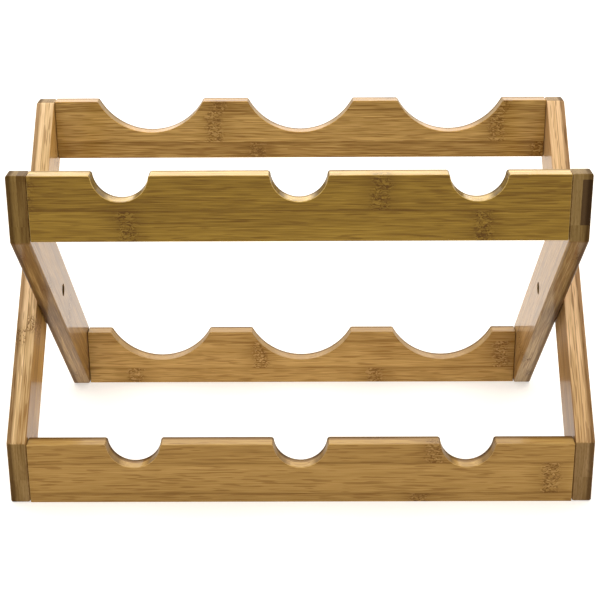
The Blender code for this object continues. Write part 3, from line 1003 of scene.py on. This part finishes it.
def stop_slot():
    """The curved slot that a stop pin runs in, drawn as (y, z) from the pivot line."""
    half = PIN_RADIUS + GAP
    start = SLOPE
    end = SLOPE + FOLD_ANGLE + SLOT_SPARE
    ends = [(STOP_OFFSET * math.cos(a), STOP_OFFSET * math.sin(a)) for a in (start, end)]
    outer = arc((0, 0), STOP_OFFSET + half, start, end, SLOT_STEPS)
    far_cap = arc(ends[1], half, end, end + math.pi, CAP_STEPS)
    inner = arc((0, 0), STOP_OFFSET - half, end, start, SLOT_STEPS)
    near_cap = arc(ends[0], half, start + math.pi, start + 2 * math.pi, CAP_STEPS)
    outline = outer[:-1] + far_cap[:-1] + inner[:-1] + near_cap[:-1]
    return loft("stop_slot", outline, outline, -SLOT_DEEP, SLOT_DEEP)


def screw_cuts(frame_name):
    """The screw holes of one frame, from the places of its screws: (mesh, matrix) pairs."""
    mesh = screw_hole()
    cuts = []
    for node, body in BODY_OF.items():
        if node.startswith("screw_") and body == frame_name:
            cuts.append((mesh, screw_place(node)))
    return cuts


def screw_place(node):
    """A screw's place: its head's face is the outermost part of its box."""
    low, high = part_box(node)
    centre = (low + high) / 2
    side = 1 if centre.x > 0 else -1
    return across(high.x if side > 0 else low.x, centre.y, centre.z, side)


def near(cuts, node):
    """Those of the cuts that start between a node's left and right faces, or just off them."""
    low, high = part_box(node)
    return [pair for pair in cuts if low.x - GAP * 2 < pair[1].translation.x < high.x + GAP * 2]


def add_boards():
    """The side boards, with holes for the screws and pivots, and the stop pins' holes or slots."""
    hole = pivot_hole()
    pin = pin_hole()
    slot = stop_slot()
    for side, sign in (("left", -1), ("right", 1)):
        pivot_cut = (hole, across(sign * OUTER_OUT, 0, PIVOT.z, sign))
        stop = centre_of(f"stop_pin_{side}")
        pin_cut = (pin, across(sign * (OUTER_IN + PIN_IN_OUTER), stop.y, stop.z, sign))
        slot_cut = (slot, Matrix.Translation(PIVOT) @ upright_side(sign * INNER_OUT))
        for frame_name, mirror, own_cut in (("outer", 1, pin_cut), ("inner", -1, slot_cut)):
            node = f"{frame_name}_board_{side}"
            low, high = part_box(node)
            axes = board_axes((low.x + high.x) / 2, mirror)
            turn = axes.to_3x3()
            mesh = slab(node, board_outline(mirror), high.x - low.x, BOARD_ROUND)
            mesh.transform(turn.to_4x4())
            place = Matrix.Translation(axes.translation)
            cuts = near(screw_cuts(frame_name + "_frame"), node)
            mesh = less(mesh, node, place, [*cuts, pivot_cut, own_cut])
            material = bamboo(node + "_bamboo", CANE[node], turn.transposed().to_euler())
            show(node, mesh, place, material)


def add_rails():
    for node in ("rail_front_lower", "rail_front_upper", "rail_back_lower", "rail_back_upper"):
        low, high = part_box(node)
        notches = NECK if "front" in node else BODY
        outline = rail_outline(high.x, high.z - low.z, notches)
        mesh = slab(node, outline, high.y - low.y, RAIL_ROUND, square_ends_at=high.x)
        place = Matrix.Translation((0, (low.y + high.y) / 2, low.z))
        place = place @ Matrix.Rotation(math.pi / 2, 4, "X")
        cuts = [pair for pair in screw_cuts(BODY_OF[node]) if in_rail(pair, low, high)]
        mesh = less(mesh, node, place, cuts)
        show(node, mesh, place, bamboo(node + "_bamboo", CANE[node]))


def in_rail(pair, low, high):
    """Whether a cut's place, seen from the side, is inside this box."""
    at = pair[1].translation
    return low.y < at.y < high.y and low.z < at.z < high.z


def cross_outline(scale):
    """A cross-shaped driver recess, as twelve points."""
    half = CROSS_WIDE / 2
    quarter = ((half, half), (CROSS_ARM, half), (CROSS_ARM, -half))
    points = []
    for step in range(4):
        turn = Matrix.Rotation(-step * math.pi / 2, 2)
        points += [scale * (turn @ Vector(point)) for point in quarter]
    return points


def add_screws():
    """Countersunk wood screws with a cross recess and a thread."""
    cone_end = -SCREW_RIM - (SCREW_HEAD - SCREW_RADIUS)
    taper = SCREW_TIP - SCREW_LONG
    rows = [(0, 0), (SCREW_HEAD - SCREW_RIM / 2, 0), (SCREW_HEAD, -SCREW_RIM / 2)]
    rows += [(SCREW_HEAD, -SCREW_RIM), (SCREW_RADIUS, cone_end)]
    rows += [(SCREW_RADIUS, height) for height in heights(-SCREW_PLAIN, taper, SCREW_PITCH)]
    rows.append((0, -SCREW_LONG))
    groove = thread(SCREW_PITCH, SCREW_RADIUS - SCREW_ROOT, -SCREW_PLAIN, taper)
    body = lathe("wood_screw", rows, THREAD_SIDES, groove)
    top = cross_outline(1)
    recess = loft("recess", cross_outline(CROSS_TAPER), top, -CROSS_DEEP, SCREW_RIM)
    mesh = less(body, "wood_screw", Matrix.Identity(4), [(recess, Matrix.Identity(4))])
    material = steel("zinc_plated_steel", ZINC)
    for node in BODY_OF:
        if node.startswith("screw_"):
            show(node, mesh, screw_place(node), material)


def hexagon(radius):
    return arc((0, 0), radius, 0, 2 * math.pi, 6)[:-1]


def socketed(body, name, radius):
    """A turned piece with a hexagon socket in its top."""
    outline = hexagon(radius)
    socket = loft(name + "_socket", outline, outline, -SOCKET_DEEP, SOCKET_DEEP)
    still = Matrix.Identity(4)
    return less(body, name, still, [(socket, still)])


def rounded_rim(radius):
    """The rounded edge of a head whose top is at height 0, from the top down."""
    centre = (radius - METAL_ROUND, -METAL_ROUND)
    return arc(centre, METAL_ROUND, math.pi / 2, 0, RIM_STEPS)


def pivot_post():
    """A sleeve nut: a thin flange and a plain post with a blind bore."""
    end = -(OUTER_OUT - GAP - INNER_IN - SINK_DEEP)
    rows = [(0, 0), *rounded_rim(FLANGE_RADIUS)]
    rows += [(FLANGE_RADIUS, -FLANGE_THICK), (POST_RADIUS, -FLANGE_THICK)]
    rows += [(POST_RADIUS, end), (BOLT_RADIUS + GAP, end)]
    rows += [(BOLT_RADIUS + GAP, end + POST_BORE), (0, end + POST_BORE)]
    return socketed(lathe("post", rows, METAL_SIDES), "pivot_post", POST_SOCKET)


def pivot_screw():
    thread_start = -BOLT_HEAD_HIGH - BOLT_PITCH
    tip = -BOLT_HEAD_HIGH - BOLT_LONG
    rows = [(0, 0), *rounded_rim(BOLT_HEAD)]
    rows += [(BOLT_HEAD, -BOLT_HEAD_HIGH), (BOLT_RADIUS, -BOLT_HEAD_HIGH)]
    rows += [(BOLT_RADIUS, height) for height in heights(thread_start, tip, BOLT_PITCH)]
    rows.append((0, tip))
    groove = thread(BOLT_PITCH, BOLT_RADIUS - BOLT_ROOT, thread_start, tip)
    return socketed(lathe("bolt", rows, THREAD_SIDES, groove), "pivot_screw", SOCKET_RADIUS)


def add_pivots():
    """A sleeve nut from outside and a screw from inside, both with hexagon sockets."""
    post, screw = pivot_post(), pivot_screw()
    material = steel("blacked_steel", BLACKED)
    for side, sign in (("left", -1), ("right", 1)):
        for node, mesh, outward in (("pivot_post_", post, sign), ("pivot_screw_", screw, -sign)):
            low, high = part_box(node + side)
            face = high.x if outward > 0 else low.x
            place = across(face, PIVOT.y, PIVOT.z, outward)
            show(node + side, mesh, place, material)


def add_stops():
    low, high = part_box("stop_pin_right")
    half = (high.x - low.x) / 2
    rows = [(0, half), (PIN_RADIUS - PIN_CHAMFER, half), (PIN_RADIUS, half - PIN_CHAMFER)]
    rows += [(radius, -height) for radius, height in rows[::-1]]
    mesh = smoothed(lathe("stop_pin", rows, METAL_SIDES), "stop_pin")
    material = steel("ground_steel", GROUND)
    for side, sign in (("left", -1), ("right", 1)):
        node = f"stop_pin_{side}"
        show(node, mesh, across(*centre_of(node), sign), material)


def add_camera():
    camera = bpy.data.objects.new("camera", bpy.data.cameras.new("camera"))
    camera.data.lens = LENS
    camera.data.sensor_width = SENSOR
    turn = Matrix.Rotation(math.radians(CAMERA_TURN), 4, "Z")
    tilt = Matrix.Rotation(math.radians(90 - CAMERA_DOWN), 4, "X")
    roll = Matrix.Rotation(math.radians(CAMERA_ROLL), 4, "Z")
    camera.matrix_world = Matrix.Translation(CAMERA_AT) @ turn @ tilt @ roll
    bpy.context.scene.collection.objects.link(camera)
    bpy.context.scene.camera = camera


def add_light():
    """A white studio: soft light all round, strongest from behind the rack, and dimmer in front."""
    world = bpy.data.worlds.new("studio")
    world.use_nodes = True
    graph = Graph(world.node_tree)
    sky = graph.node("ShaderNodeTexCoord").outputs["Generated"]
    _, back, up = graph.split(sky)
    place = graph.total(0.5, (back, 0.5))
    stops = [(0.1, grey(LIGHT_FRONT)), (0.5, grey(LIGHT_SIDES)), (0.88, grey(LIGHT_BACK))]
    level = graph.ramp(place, stops, "EASE")
    light = graph.mix(graph.smooth(up, 0.45, 0.95), level, grey(LIGHT_TOP))
    light = graph.mix(1.0, light, LIGHT_TINT, "MULTIPLY")
    background = world.node_tree.nodes["Background"]
    graph.feed(background.inputs["Color"], light)
    bpy.context.scene.world = world
    bpy.context.scene.view_settings.view_transform = "Standard"


def add_floor():
    shape = bmesh.new()
    bmesh.ops.create_grid(shape, x_segments=FLOOR_TILES, y_segments=FLOOR_TILES, size=FLOOR_SIZE / 2)
    floor = bpy.data.objects.new("studio_floor", mesh_of(shape, "studio_floor"))
    floor.location.z = CAD_BOX[0][2]
    bpy.context.scene.collection.objects.link(floor)
    material, graph, shader = new_material("studio_floor")
    place = graph.node("ShaderNodeTexCoord").outputs["Object"]
    scaled = graph.node("ShaderNodeVectorMath", {0: place}, operation="SCALE")
    scaled.inputs["Scale"].default_value = 3.0
    colour = graph.mix(graph.noise(scaled.outputs[0], 2.0), FLOOR_PALE, FLOOR_PALER)
    graph.feed(shader.inputs["Base Color"], colour)
    shader.inputs["Roughness"].default_value = 0.8
    shader.inputs["Specular IOR Level"].default_value = 0.2
    shader.inputs["Emission Color"].default_value = GLOW_TINT
    shader.inputs["Emission Strength"].default_value = FLOOR_GLOW
    floor.data.materials.append(material)


def main():
    add_camera()
    add_light()
    add_floor()
    add_boards()
    add_rails()
    add_screws()
    add_pivots()
    add_stops()


main()
